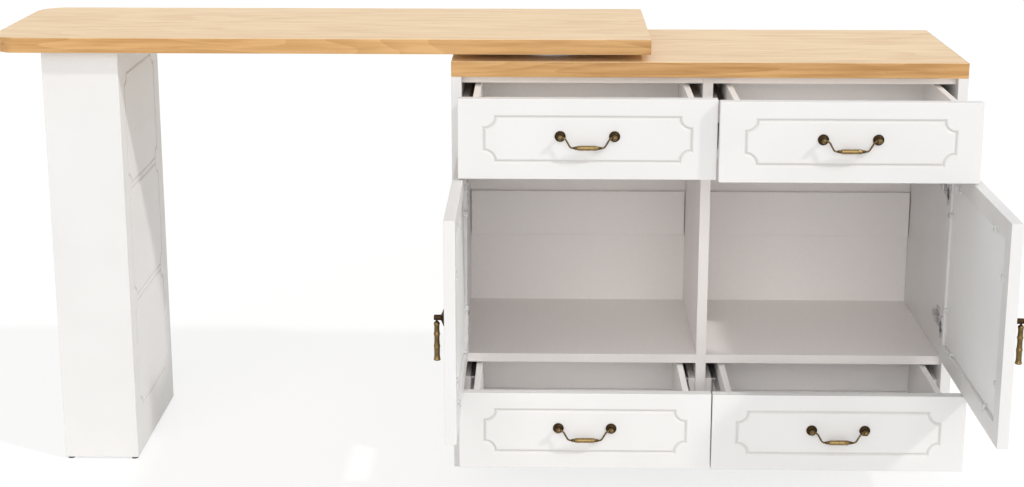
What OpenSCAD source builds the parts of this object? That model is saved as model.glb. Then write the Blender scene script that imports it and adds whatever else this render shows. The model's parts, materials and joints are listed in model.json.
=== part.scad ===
// Kitchen island: a cabinet of two bays with four drawers and two glazed doors, and a long
// table that turns on the cabinet's worktop and stands on a panelled leg.
// Millimetres. The origin is the middle of the cabinet's footprint, on the floor.
// +X is to the right, +Y to the back and +Z up.

/* [Cabinet] */
// Width of the cabinet and its worktop
cabinet_w = 1000; // [900:10:1200]
// Depth of the cabinet and its worktop
cabinet_d = 400; // [396:2:500]
// Height of the cabinet under its worktop
carcass_h = 811; // [790:1:900]
// Thickness of the side panels and the partition
panel_t = 20; // [16:1:24]
// Thickness of the boards that lie between the panels
board_t = 18; // [15:1:20]
// Height of the top of the base boards
base_top = 92; // [80:1:110]
// Thickness of the worktop
worktop_t = 30; // [25:1:40]
// Radius at the corners of the worktop
worktop_corner_r = 3; // [1:0.5:10]
// Thickness of the back panel
back_t = 6; // [3:1:10]
// How far the back panel lies in from the rear edges
back_inset = 14; // [8:1:20]
// Width of the rails under the worktop
rail_w = 80; // [60:5:100]
// Thickness of the rails under the worktop
rail_t = 15; // [12:1:18]
// How far the compartment floor lies below the top of the lower drawer fronts
floor_drop = 8; // [5:1:12]
// How far the compartment's top board reaches down behind the doors
door_stop_h = 8; // [5:1:12]

/* [Back rail] */
// Height of the rail across the back of each compartment
back_rail_h = 97; // [60:1:120]
// Thickness of that rail
back_rail_t = 12; // [9:1:18]
// Height of that rail over the compartment floor
back_rail_up = 153; // [100:1:200]
// Gap at each end of that rail
back_rail_gap = 2; // [1:0.5:4]

/* [Toe space] */
// How far the toe board lies behind the front
toe_setback = 50; // [30:5:80]
// Thickness of the toe board
toe_t = 18; // [12:1:20]

/* [Fronts] */
// Thickness of the drawer fronts and doors
front_t = 20; // [18:1:22]
// Height of a drawer front
drawer_front_h = 151; // [140:1:165]
// Gap above and below each front
front_gap = 3; // [2:0.5:4]
// Gap between a front and the side panel
side_gap = 2; // [1.5:0.5:3]
// Gap between the left and the right fronts
centre_gap = 2; // [1.5:0.5:4]
// Gap between a closed front and the boards behind it
stop_gap = 1; // [0.5:0.5:2]

/* [Routed groove] */
// Width of the groove at the surface
groove_w = 8; // [4:0.5:8]
// Width of the groove at its floor
groove_floor_w = 2.5; // [1.5:0.5:3.5]
// Depth of the groove's shoulders
groove_shoulder = 1; // [0.5:0.25:1.5]
// Depth of the groove
groove_depth = 2.4; // [2:0.2:3.5]
// Distance of the groove from the ends of a drawer front
groove_inset_x = 48; // [30:1:80]
// Distance of the groove from the top and bottom of a drawer front
groove_inset_z = 34; // [30:1:40]
// Radius of the groove's hollow corners
groove_corner_r = 21; // [14:1:24]

/* [Drawer boxes] */
// Height of a drawer box
box_h = 105; // [80:1:112]
// Depth of a drawer box
box_d = 340; // [300:5:345]
// Thickness of the sides and back
box_side_t = 12; // [10:1:15]
// Gap between a drawer box and the board above it
box_clear_z = 5; // [3:1:8]
// Thickness of the bottom
box_bottom_t = 4; // [3:1:6]
// Height of the bottom in the sides
box_bottom_up = 10; // [7:1:15]
// Depth of the grooves that hold the bottom
box_groove = 6; // [4:1:8]
// Play of the bottom in its grooves
box_groove_play = 0.2; // [0.1:0.1:0.4]

/* [Drawer openings as shown] */
// Upper left drawer
open_upper_left = 199; // [0:1:300]
// Upper right drawer
open_upper_right = 218; // [0:1:300]
// Lower left drawer
open_lower_left = 223; // [0:1:300]
// Lower right drawer
open_lower_right = 225; // [0:1:300]

/* [Drawer runners] */
// Thickness of the batten behind each runner
batten_t = 13; // [8:1:16]
// Width of a runner, from its batten to the drawer box
runner_w = 13; // [12.5:0.5:15]
// Height of a runner
runner_h = 45; // [42:1:50]
// Length of a runner
runner_len = 330; // [280:5:335]
// Thickness of the runner's steel
runner_steel = 1.4; // [1:0.1:1.5]
// Play between the members of a runner
runner_play = 0.4; // [0.3:0.1:0.6]
// Width of the outer member
runner_outer_w = 9; // [8:0.5:9.5]
// Distance of the runners behind the front edges of the boards
runner_setback = 7; // [4:1:10]

/* [Doors] */
// How far the doors stand open
door_angle = 90; // [0:5:105]
// Width of the frame's flat inner face
stile_w = 36; // [34:1:50]
// Width of the lip that the glass lies on
lip_w = 24; // [8:1:30]
// Thickness of that lip
lip_t = 10; // [8:1:12]
// Radius of the hollow corners of the glazed opening
sight_corner_r = 30; // [10:1:40]
// Width of the step round the glazed opening, outside
step_w = 6; // [3:1:8]
// Depth of that step
step_depth = 3; // [1:0.5:4]
// Thickness of the glass
glass_t = 4; // [3:0.5:5]
// Play round the glass
glass_play = 1; // [0.5:0.5:2]

/* [Door hinges] */
// How far the hinge axis lies inside the panel's inner face
hinge_in = 6; // [5:0.5:8]
// How far the hinge axis lies behind the front
hinge_back = 3; // [2:0.5:3.5]
// Height of a hinge from the end of the door
hinge_inset = 66; // [50:1:90]
// Radius of a hinge cup
cup_r = 13; // [11:0.5:13.5]
// Depth of a hinge cup in the door
cup_depth = 9.5; // [8:0.5:9.5]
// Wall of a hinge cup
cup_wall = 1.2; // [0.8:0.1:2]
// Distance from the door's edge to the cup
cup_edge = 5; // [4:0.5:6]
// Play of the cup in its hole
cup_play = 0.1; // [0.05:0.05:0.2]
// Thickness of the cup's flange
cup_flange_t = 1.5; // [1:0.25:2]
// Length of the cup's flange
cup_flange_l = 46; // [40:1:52]
// Length of a hinge arm
arm_l = 48; // [40:1:60]
// Height of a hinge arm
arm_h = 13; // [10:1:16]
// How far a hinge arm stands off the panel
arm_off = 12; // [9:1:14]
// Gap between a hinge arm and the closed door
arm_gap = 6; // [5:0.5:10]

/* [Glass clips] */
// Width of a clip
clip_w = 10; // [8:1:14]
// How far a clip reaches over the frame and over the glass
clip_reach = 6; // [5:0.5:8]
// Thickness of a clip
clip_t = 2; // [1.5:0.25:2.5]
// Distance of the clips from the corners of the glass
clip_inset = 70; // [40:5:100]

/* [Drawer handles] */
// Distance between the posts of a drawer handle
handle_centres = 100; // [96:1:128]
// Height of a handle's axis over the middle of the drawer front
handle_up = 6; // [0:1:12]
// Distance of the handle's axis from the drawer front
handle_off = 14; // [13:0.5:18]
// Radius of a post's rosette
rosette_r = 10.5; // [9:0.5:13]
// Radius of a post's head
post_head_r = 5; // [4.5:0.25:6]
// Radius of a post's neck
post_neck_r = 3.6; // [3:0.2:4.2]
// Radius of the bail's wire
wire_r = 1.7; // [1.4:0.1:2]
// Play of the bail's pins in the posts
pin_play = 0.05; // [0.03:0.01:0.08]
// How far the grip hangs below the handle's axis
bail_drop = 19; // [17:1:24]
// Length of the bail's straight bottom
bail_straight = 62; // [54:1:66]
// Length of the grip
grip_l = 48; // [30:1:48]
// Radius of the grip in its middle
grip_r = 4.6; // [3.5:0.1:5]
// Radius of the grip at its ends
grip_end_r = 2.8; // [2.4:0.1:3.2]

/* [Door pulls] */
// Distance of a pull from the door's free edge
pull_edge = 25; // [20:1:32]
// Height of a pull's axis over the middle of the door
pull_up = 23; // [0:1:40]
// Distance of the pull's axis from the door
pull_off = 14; // [13:0.5:18]
// Radius of the cone at the foot of the post
pull_cone_r = 16; // [12:0.5:18]
// Height of that cone
pull_cone_h = 6; // [4:0.5:6.5]
// Radius of the post
pull_post_r = 5; // [4.5:0.25:5.5]
// Width of the slot that the drop hangs in
pull_slot_w = 4.6; // [4.4:0.1:5]
// Side play of the drop in that slot
pull_slot_play = 0.3; // [0.2:0.05:0.4]
// Radius of the pin that carries the drop
pull_pin_r = 1.5; // [1.3:0.1:1.6]
// Length of the drop below its axis
drop_l = 78; // [55:1:80]
// Radius of the drop between its rings
drop_r = 5; // [3.6:0.1:5.2]
// Radius of the drop's rings
drop_ring_r = 5.8; // [5.4:0.1:6]
// Radius of the drop's flared end
drop_end_r = 6.2; // [5.8:0.1:6.4]

/* [Table] */
// Length of the table
table_l = 1289; // [1280:1:1500]
// Depth of the table
table_d = 400; // [380:5:500]
// Thickness of the table
table_t = 30; // [25:1:40]
// Gap between the worktop and the table
table_gap = 14; // [13:0.5:18]
// Radius of the corners at the table's far end
table_corner_r = 55; // [10:1:80]
// Distance of the turning axis from the worktop's left end
pivot_in = 195; // [190:1:220]
// Distance of the table's near end from the turning axis
pivot_past = 192; // [180:1:220]

/* [Swivel] */
// Radius of the swivel plates
swivel_r = 130; // [125:1:160]
// Thickness of a swivel plate
swivel_t = 4; // [3:0.5:4.5]
// Radius of the ball track
track_r = 110; // [100:1:112]
// Width of a ball race
race_w = 16; // [12:1:20]
// Radius of a ball
ball_r = 2.5; // [2:0.1:2.8]
// Play of the balls in their track
ball_play = 0.1; // [0.05:0.05:0.2]
// Number of balls
ball_count = 24; // [12:1:36]
// Gap between the two races
race_gap = 1; // [0.5:0.25:1.5]
// Radius of the swivel bolt
bolt_r = 6; // [5:0.5:8]
// Play of the swivel bolt in its holes
bolt_play = 0.06; // [0.03:0.01:0.1]
// Radius of the bolt's head and washer
bolt_head_r = 11; // [10:0.5:13]
// Height of the bolt's head
bolt_head_h = 5; // [3:0.5:5]
// Height of the bolt's nut
nut_h = 8; // [6:0.5:9]
// Room round the nut, in the underside of the table
nut_room = 4; // [2:0.5:6]

/* [Table leg] */
// Width of the leg, along the table
leg_w = 150; // [100:5:160]
// Depth of the leg
leg_d = 350; // [250:5:370]
// Distance of the leg from the table's far end
leg_end = 97; // [60:1:100]
// Thickness of the leg's boards
leg_board_t = 18; // [15:1:20]
// Height of the glides under the leg
glide_h = 4; // [3:0.5:6]
// Radius of a glide
glide_r = 7; // [5:0.5:8]
// Section of the cleats that join the leg to the table
cleat_w = 25; // [18:1:35]
// Number of routed panels, one over another, on each side of the leg
leg_panels = 3; // [1:1:4]
// Height of the lowest routed panel's groove over the foot of the leg
leg_panel_foot = 92; // [50:1:120]
// Gap between one routed panel's groove and the next
leg_panel_gap = 12; // [8:1:30]
// Distance of the highest routed panel's groove from the table
leg_panel_head = 56; // [40:1:100]
// Distance of the grooves from the front and back of the leg
leg_panel_inset = 46; // [30:1:70]

/* [Hidden] */
$fn = 48;

white = "white";
oak = "burlywood";
brass = "darkgoldenrod";
steel = "silver";
LEFT = -1;
RIGHT = 1;
UPPER = 1;
LOWER = 0;
cut = 1;                                    // how far a cutting solid runs past a face

// Front to back
front_y = -cabinet_d / 2;
front_back_y = front_y + front_t;
edge_y = front_back_y + stop_gap;           // front edges of the boards behind the fronts
back_y = cabinet_d / 2 - back_inset - back_t;
board_d = back_y - edge_y;

// Left bay, which is mirrored for the right one
bay_left = -cabinet_w / 2 + panel_t;
bay_right = -panel_t / 2;
bay_w = bay_right - bay_left;
front_left = bay_left + side_gap;
front_right = -centre_gap / 2;
front_w = front_right - front_left;
front_mid = (front_left + front_right) / 2;

// Heights
lower_front_z = base_top + front_gap;
door_z = lower_front_z + drawer_front_h + front_gap;
door_h = carcass_h - base_top - 2 * drawer_front_h - 4 * front_gap;
upper_front_z = door_z + door_h + front_gap;
floor_top = lower_front_z + drawer_front_h - floor_drop;
ceiling_z = door_z + door_h - door_stop_h;  // underside of the compartment's top board
worktop_z = carcass_h;
table_z = worktop_z + worktop_t + table_gap;

// Drawer boxes
box_left = bay_left + batten_t + runner_w;
box_right = bay_right - batten_t - runner_w;
box_w = box_right - box_left;
drawer_opening = [[open_lower_left, open_lower_right], [open_upper_left, open_upper_right]];

// Runners: the members nest, each a runner_play inside the next
runner_y = edge_y + runner_setback;
middle_h = runner_h - 2 * (runner_steel + runner_play);
inner_h = middle_h - 2 * (runner_steel + runner_play);
middle_off = runner_steel + 2 * runner_play;
middle_w = runner_w - runner_steel - runner_play - middle_off;
inner_w = runner_w - middle_off - runner_steel - runner_play;

// Door hinges
hinge_x = bay_left - hinge_in;
hinge_y = front_y + hinge_back;
cup_x = front_left + cup_edge + cup_r;
hinge_heights = [door_z + hinge_inset, door_z + door_h - hinge_inset];
rebate_w = front_w - 2 * stile_w;
rebate_h = door_h - 2 * stile_w;
sight_w = rebate_w - 2 * lip_w;
sight_h = rebate_h - 2 * lip_w;
door_mid_z = door_z + door_h / 2;

// Table
pivot_x = -cabinet_w / 2 + pivot_in;
table_right = pivot_x + pivot_past;
table_left = table_right - table_l;
leg_left = table_left + leg_end;
leg_side_d = leg_d - 2 * leg_board_t;
leg_h = table_z - glide_h;
leg_panel_h = (leg_h - leg_panel_foot - leg_panel_head - (leg_panels - 1) * leg_panel_gap) / leg_panels;
race_z = worktop_z + worktop_t + table_gap / 2;   // height of the balls' centres

function front_z(row) = row == UPPER ? upper_front_z : lower_front_z;
function box_z(row) = (row == UPPER ? carcass_h - rail_t : floor_top - board_t) - box_clear_z - box_h;
function opening(side, row) = drawer_opening[row][side == LEFT ? 0 : 1];

// ---- Shared shapes ----

// Puts a shape of the left bay on its side of the cabinet
module on_side(side) {
    mirror([side == RIGHT ? 1 : 0, 0, 0]) children();
}

// The same shape in both bays
module both_bays() {
    for (side = [LEFT, RIGHT]) on_side(side) children();
}

// Puts a shape of a shut drawer where the open drawer has it
module on_drawer(side, row, share = 1) {
    on_side(side) translate([0, -share * opening(side, row), 0]) children();
}

// Puts a shape of a shut door where the open door has it
module on_door(side) {
    on_side(side)
        translate([hinge_x, hinge_y, 0])
            rotate([0, 0, -door_angle])
                translate([-hinge_x, -hinge_y, 0]) children();
}

// A board between two corners
module board(low, high) {
    translate(low) cube(high - low);
}

// A rectangle whose corners are hollowed by circles set on the corners of its centre line
module hollow_cornered(size, centres, r) {
    difference() {
        square(size, center = true);
        for (x = [-0.5, 0.5], y = [-0.5, 0.5])
            translate([x * centres.x, y * centres.y]) circle(r);
    }
}

// The band that a cutter of this width leaves along a hollow-cornered outline
module groove_band(size, width) {
    difference() {
        hollow_cornered([size.x + width, size.y + width], size, groove_corner_r - width / 2);
        hollow_cornered([size.x - width, size.y - width], size, groove_corner_r + width / 2);
    }
}

// A routed groove that sinks from the surface z = 0 along -Z
module routed_groove(size) {
    translate([0, 0, -groove_shoulder]) linear_extrude(groove_shoulder + cut) groove_band(size, groove_w);
    translate([0, 0, -groove_depth]) linear_extrude(groove_depth + cut) groove_band(size, groove_floor_w);
}

// A flat slab with a corner radius at each end: left pair, right pair
module slab(low, high, left_r, right_r) {
    size = high - low;
    translate(low) linear_extrude(size.z) difference() {
        square([size.x, size.y]);
        for (end = [0, 1], front = [0, 1]) {
            r = end == 0 ? left_r : right_r;
            translate([end * size.x, front * size.y])
                mirror([end, 0]) mirror([0, front]) difference() {
                    translate([-cut, -cut]) square([r + cut, r + cut]);
                    translate([r, r]) circle(r);
                }
        }
    }
}

// ---- Cabinet ----

module side_panel(side) {
    color(white) on_side(side)
        board([-cabinet_w / 2, front_y, 0], [bay_left, cabinet_d / 2, carcass_h]);
}

module partition() {
    color(white) board([bay_right, edge_y, 0], [-bay_right, back_y, carcass_h]);
}

module worktop() {
    color(oak) difference() {
        slab([-cabinet_w / 2, front_y, worktop_z], [cabinet_w / 2, -front_y, worktop_z + worktop_t],
             worktop_corner_r, worktop_corner_r);
        translate([pivot_x, 0, worktop_z - cut]) cylinder(r = bolt_r + bolt_play, h = worktop_t + 2 * cut);
    }
}

module top_rails() {
    color(white) both_bays() {
        board([bay_left, edge_y, carcass_h - rail_t], [bay_right, edge_y + rail_w, carcass_h]);
        board([bay_left, back_y - rail_w, carcass_h - rail_t], [bay_right, back_y, carcass_h]);
    }
}

module compartment_tops() {
    color(white) both_bays()
        board([bay_left, edge_y, ceiling_z], [bay_right, back_y, ceiling_z + board_t]);
}

module compartment_floors() {
    color(white) both_bays()
        board([bay_left, edge_y, floor_top - board_t], [bay_right, back_y, floor_top]);
}

module base_boards() {
    color(white) both_bays()
        board([bay_left, edge_y, base_top - board_t], [bay_right, back_y, base_top]);
}

module toe_boards() {
    toe_y = front_y + toe_setback;
    color(white) both_bays()
        board([bay_left, toe_y, 0], [bay_right, toe_y + toe_t, base_top - board_t]);
}

module back_panel() {
    color(white)
        board([bay_left, back_y, base_top - board_t], [-bay_left, back_y + back_t, carcass_h]);
}

module back_rails() {
    low = floor_top + back_rail_up;
    color(white) both_bays()
        board([bay_left + back_rail_gap, back_y - back_rail_t, low],
              [bay_right - back_rail_gap, back_y, low + back_rail_h]);
}

// ---- Drawer runners ----

// Puts a shape at the left of its bay, and its mirror image at the right, at a drawer's runner height
module runner_pair(row) {
    middle = (bay_left + bay_right) / 2;
    for (turn = [0, 1])
        translate([middle, runner_y, box_z(row) + box_h / 2])
            mirror([turn, 0, 0]) translate([-bay_w / 2, 0, 0]) children();
}

// A channel that lies along Y, its web at x = 0 and open to +X
module channel(width, height) {
    rotate([-90, 0, 0]) linear_extrude(runner_len) difference() {
        translate([0, -height / 2]) square([width, height]);
        translate([runner_steel, runner_steel - height / 2])
            square([width, height - 2 * runner_steel]);
    }
}

module runner_battens() {
    color(white) both_bays() for (row = [LOWER, UPPER]) runner_pair(row)
        translate([0, 0, -runner_h / 2]) cube([batten_t, runner_len, runner_h]);
}

module cabinet_runners() {
    color(steel) both_bays() for (row = [LOWER, UPPER]) runner_pair(row)
        translate([batten_t, 0, 0]) channel(runner_outer_w, runner_h);
}

module middle_runners(side, row) {
    color(steel) on_drawer(side, row, 0.5) runner_pair(row)
        translate([batten_t + middle_off, 0, 0]) channel(middle_w, middle_h);
}

module drawer_runners(side, row) {
    color(steel) on_drawer(side, row) runner_pair(row)
        translate([batten_t + runner_w, 0, 0]) mirror([1, 0, 0]) channel(inner_w, inner_h);
}

// ---- Drawers ----

module drawer_front(side, row) {
    slot_z = box_z(row) + box_bottom_up;
    color(white) on_drawer(side, row) difference() {
        board([front_left, front_y, front_z(row)],
              [front_right, front_back_y, front_z(row) + drawer_front_h]);
        translate([front_mid, front_y, front_z(row) + drawer_front_h / 2]) rotate([90, 0, 0])
            routed_groove([front_w - 2 * groove_inset_x, drawer_front_h - 2 * groove_inset_z]);
        board([box_left + box_side_t - box_groove, front_back_y - box_groove, slot_z],
              [box_right - box_side_t + box_groove, front_back_y + cut, slot_z + box_bottom_t]);
    }
}

// Two grooved sides, the back and the bottom that slides in under the back
module drawer_box(side, row) {
    low = box_z(row);
    back = front_back_y + box_d;
    slot_z = low + box_bottom_up;
    reach = box_groove - box_groove_play;
    color("linen") on_drawer(side, row) {
        for (turn = [0, 1])
            translate([front_mid_box(), 0, 0]) mirror([turn, 0, 0]) translate([-box_w / 2, 0, 0])
                difference() {
                    board([0, front_back_y, low], [box_side_t, back, low + box_h]);
                    board([box_side_t - box_groove, front_back_y - cut, slot_z],
                          [box_side_t + cut, back + cut, slot_z + box_bottom_t]);
                }
        board([box_left + box_side_t, back - box_side_t, slot_z + box_bottom_t],
              [box_right - box_side_t, back, low + box_h]);
        board([box_left + box_side_t - reach, front_back_y - reach, slot_z + box_groove_play / 2],
              [box_right - box_side_t + reach, back, slot_z + box_bottom_t - box_groove_play / 2]);
    }
}

function front_mid_box() = (box_left + box_right) / 2;

// ---- Drawer handles ----

// Puts a shape made round the handle's axis on its drawer
module on_handle(side, row) {
    on_drawer(side, row)
        translate([front_mid, front_y - handle_off, front_z(row) + drawer_front_h / 2 + handle_up])
            children();
}

// A rosette, a waisted neck and a round head, turned in one, from the drawer front to the axis
module handle_post() {
    difference() {
        union() {
            translate([0, handle_off, 0]) rotate([90, 0, 0]) rotate_extrude()
                polygon([[0, 0], [rosette_r, 0], [rosette_r, 1.2], [rosette_r - 1.2, 2.2],
                         [rosette_r - 4, 3], [post_neck_r + 0.8, 4.2], [post_neck_r, 6],
                         [post_neck_r, handle_off], [0, handle_off]]);
            sphere(post_head_r);
        }
        rotate([0, 90, 0]) cylinder(r = wire_r + pin_play, h = 4 * post_head_r, center = true);
    }
}

module handle_posts(side, row) {
    color(brass) on_handle(side, row)
        for (x = [-0.5, 0.5]) translate([x * handle_centres, 0, 0]) handle_post();
}

// A bent wire that turns in the posts, with a barrel grip
module handle_bail(side, row) {
    elbow_x = handle_centres / 2 - post_head_r - 2 * wire_r;
    arm_x = elbow_x - bail_straight / 2;
    arm_l = sqrt(arm_x * arm_x + bail_drop * bail_drop);
    color(brass) on_handle(side, row) {
        for (turn = [0, 1]) mirror([turn, 0, 0]) {
            translate([elbow_x, 0, 0]) rotate([0, 90, 0])
                cylinder(r = wire_r, h = 2 * (post_head_r + wire_r));
            translate([elbow_x, 0, 0]) sphere(wire_r);
            translate([bail_straight / 2, 0, -bail_drop]) sphere(wire_r);
            translate([bail_straight / 2, 0, -bail_drop]) rotate([0, atan2(arm_x, bail_drop), 0])
                cylinder(r = wire_r, h = arm_l);
        }
        translate([0, 0, -bail_drop]) rotate([0, 90, 0])
            cylinder(r = wire_r, h = bail_straight, center = true);
        translate([0, 0, -bail_drop]) rotate([0, 90, 0]) rotate_extrude()
            polygon([[0, -grip_l / 2], [grip_end_r, -grip_l / 2], [grip_end_r + 0.7, 2 - grip_l / 2],
                     [grip_end_r, 4 - grip_l / 2], [grip_r, 7 - grip_l / 2], [grip_r, grip_l / 2 - 7],
                     [grip_end_r, grip_l / 2 - 4], [grip_end_r + 0.7, grip_l / 2 - 2],
                     [grip_end_r, grip_l / 2], [0, grip_l / 2]]);
    }
}

// ---- Doors ----

// A frame with a glazed opening, a rebate for the glass and two holes for the hinge cups
module door_frame(side) {
    color(white) on_door(side) difference() {
        board([front_left, front_y, door_z], [front_right, front_back_y, door_z + door_h]);
        translate([front_mid, front_y - cut, door_mid_z]) rotate([-90, 0, 0])
            linear_extrude(front_t + 2 * cut)
                hollow_cornered([sight_w, sight_h], [sight_w, sight_h], sight_corner_r);
        translate([front_mid, front_y - cut, door_mid_z]) rotate([-90, 0, 0])
            linear_extrude(step_depth + cut)
                hollow_cornered([sight_w + 2 * step_w, sight_h + 2 * step_w], [sight_w, sight_h],
                                sight_corner_r - step_w);
        translate([front_mid - rebate_w / 2, front_y + lip_t, door_mid_z - rebate_h / 2])
            cube([rebate_w, front_t, rebate_h]);
        for (z = hinge_heights)
            translate([cup_x, front_back_y - cup_depth, z]) rotate([-90, 0, 0])
                cylinder(r = cup_r + cup_play, h = cup_depth + cut);
    }
}

module door_glass(side) {
    w = rebate_w - 2 * glass_play;
    h = rebate_h - 2 * glass_play;
    color("lightgrey", 0.6) on_door(side)
        translate([front_mid - w / 2, front_y + lip_t, door_mid_z - h / 2]) cube([w, glass_t, h]);
}

// A clip at the rebate's edge, which it crosses along +Z: a tab on the frame and a foot on the glass
module glass_clip() {
    glass_y = front_y + lip_t + glass_t;
    translate([-clip_w / 2, front_back_y, -clip_reach]) cube([clip_w, clip_t, 2 * clip_reach]);
    translate([-clip_w / 2, glass_y, glass_play])
        cube([clip_w, front_back_y - glass_y, clip_reach - glass_play]);
}

module glass_clips(side) {
    color(steel) on_door(side) translate([front_mid, 0, door_mid_z]) for (turn = [0, 1]) {
        for (x = [-1, 1]) translate([x * (rebate_w / 2 - clip_inset), 0, 0])
            rotate([0, 180 * turn, 0]) translate([0, 0, -rebate_h / 2]) glass_clip();
        for (z = [-1, 1]) translate([0, 0, z * (rebate_h / 2 - clip_inset)])
            rotate([0, 90 + 180 * turn, 0]) translate([0, 0, -rebate_w / 2]) glass_clip();
    }
}

// Cups let into the door, with a round-ended flange on its inner face
module hinge_cups(side) {
    flange_w = 2 * cup_r - 8;
    color(steel) on_door(side) for (z = hinge_heights)
        translate([cup_x, front_back_y, z]) rotate([90, 0, 0]) difference() {
            union() {
                cylinder(r = cup_r, h = cup_depth);
                translate([0, 0, -cup_flange_t]) linear_extrude(cup_flange_t) {
                    circle(cup_r);
                    square([flange_w, cup_flange_l - flange_w], center = true);
                    for (end = [-1, 1])
                        translate([0, end * (cup_flange_l - flange_w) / 2]) circle(flange_w / 2);
                }
            }
            translate([0, 0, -cut - cup_flange_t])
                cylinder(r = cup_r - cup_wall, h = cup_depth + cup_flange_t + cut - cup_wall);
        }
}

// Arms on the panels, each a cranked bar on a base plate
module hinge_arms() {
    plate_t = 2;
    arm_y = front_back_y + arm_gap;
    color(steel) both_bays() for (z = hinge_heights)
        translate([bay_left, arm_y, z]) {
            translate([0, arm_l / 4, -1.5 * arm_h]) cube([plate_t, arm_l / 2, 3 * arm_h]);
            translate([0, 0, -arm_h / 2]) linear_extrude(arm_h)
                polygon([[plate_t, 0], [arm_off - plate_t, 0], [arm_off, plate_t], [arm_off, arm_l / 4],
                         [arm_off * 0.7, arm_l / 2], [arm_off * 0.7, arm_l], [plate_t, arm_l],
                         [plate_t, arm_l / 2]]);
        }
}

// ---- Door pulls ----

// Puts a shape made round the pull's axis on its door
module on_pull(side) {
    on_door(side)
        translate([front_right - pull_edge, front_y - pull_off, door_mid_z + pull_up]) children();
}

// A cone, a post with a slot in its end, and the pin across the slot
module pull_post(side) {
    slot_y = pull_post_r + pull_slot_play;
    color(brass) on_pull(side) {
        difference() {
            translate([0, pull_off, 0]) rotate([90, 0, 0]) rotate_extrude()
                polygon([[0, 0], [pull_cone_r, 0], [pull_cone_r, 1.5], [pull_post_r + 1, pull_cone_h],
                         [pull_post_r, pull_cone_h + 1], [pull_post_r, pull_off + pull_post_r - 1],
                         [pull_post_r - 1, pull_off + pull_post_r], [0, pull_off + pull_post_r]]);
            translate([-pull_slot_w / 2, -2 * pull_post_r, -2 * pull_post_r])
                cube([pull_slot_w, 2 * pull_post_r + slot_y, 4 * pull_post_r]);
        }
        rotate([0, 90, 0]) cylinder(r = pull_pin_r, h = 2 * pull_post_r - 1, center = true);
    }
}

// A drop that hangs from its pierced tongue: a stem with rings and a flared end
module pull_drop(side) {
    tongue_w = pull_slot_w - 2 * pull_slot_play;
    tongue_r = pull_post_r - 0.5;
    neck_r = tongue_w / 2;
    neck_l = pull_post_r + 1.5;
    stem_l = drop_l - neck_l;
    color(brass) on_pull(side) {
        difference() {
            union() {
                rotate([0, 90, 0]) cylinder(r = tongue_r, h = tongue_w, center = true);
                translate([0, 0, -neck_l]) cylinder(r = neck_r, h = neck_l - pull_pin_r - 1);
            }
            rotate([0, 90, 0])
                cylinder(r = pull_pin_r + pin_play, h = 2 * pull_post_r, center = true);
        }
        translate([0, 0, -drop_l]) rotate_extrude()
            polygon([[0, 0], [drop_end_r - 1, 0], [drop_end_r, 1.5], [drop_r, stem_l * 0.2],
                     [drop_r, stem_l * 0.33], [drop_ring_r, stem_l * 0.37], [drop_r, stem_l * 0.42],
                     [drop_r - 0.4, stem_l * 0.62], [drop_ring_r, stem_l * 0.67],
                     [drop_r, stem_l * 0.72], [drop_r - 0.4, stem_l * 0.86],
                     [drop_r + 0.5, stem_l * 0.94], [neck_r, stem_l], [0, stem_l]]);
    }
}

// ---- Swivel ----

// A plate with a raised race, whose track is worn to the balls, seen from its flat side up
module swivel_plate() {
    race_h = table_gap / 2 - swivel_t - race_gap / 2;
    difference() {
        union() {
            cylinder(r = swivel_r, h = swivel_t);
            difference() {
                cylinder(r = track_r + race_w / 2, h = swivel_t + race_h);
                translate([0, 0, swivel_t])
                    cylinder(r = track_r - race_w / 2, h = race_h + cut);
            }
        }
        translate([0, 0, table_gap / 2]) rotate_extrude()
            translate([track_r, 0]) circle(ball_r + ball_play);
        translate([0, 0, -cut]) cylinder(r = bolt_r + bolt_play, h = swivel_t + 2 * cut);
    }
}

// The lower plate, on the worktop, and the balls that run in its track
module swivel_base() {
    color(steel) translate([pivot_x, 0, worktop_z + worktop_t]) {
        swivel_plate();
        for (turn = [0 : 360 / ball_count : 359])
            rotate([0, 0, turn]) translate([track_r, 0, table_gap / 2]) sphere(ball_r);
    }
}

// The bolt through the worktop and both plates, with its nut
module swivel_bolt() {
    color(steel) translate([pivot_x, 0, 0]) {
        translate([0, 0, worktop_z - bolt_head_h]) cylinder(r = bolt_head_r, h = bolt_head_h);
        translate([0, 0, worktop_z - 1]) cylinder(r = bolt_r, h = table_z + nut_h + 2 - worktop_z);
        translate([0, 0, table_z + 0.5]) cylinder(r = bolt_head_r, h = nut_h, $fn = 6);
    }
}

module swivel_top_plate() {
    color(steel) translate([pivot_x, 0, table_z]) mirror([0, 0, 1]) swivel_plate();
}

// ---- Table ----

module table_top() {
    room_r = bolt_head_r + nut_room;
    color(oak) difference() {
        slab([table_left, -table_d / 2, table_z], [table_right, table_d / 2, table_z + table_t],
             table_corner_r, worktop_corner_r);
        translate([pivot_x, 0, table_z - cut]) cylinder(r = room_r, h = nut_h + nut_room + cut);
    }
}

// The front or back board of the leg
module leg_end_board(end) {
    color(white) mirror([0, end == LEFT ? 0 : 1, 0])
        board([leg_left, -leg_d / 2, glide_h], [leg_left + leg_w, leg_board_t - leg_d / 2, table_z]);
}

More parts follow.
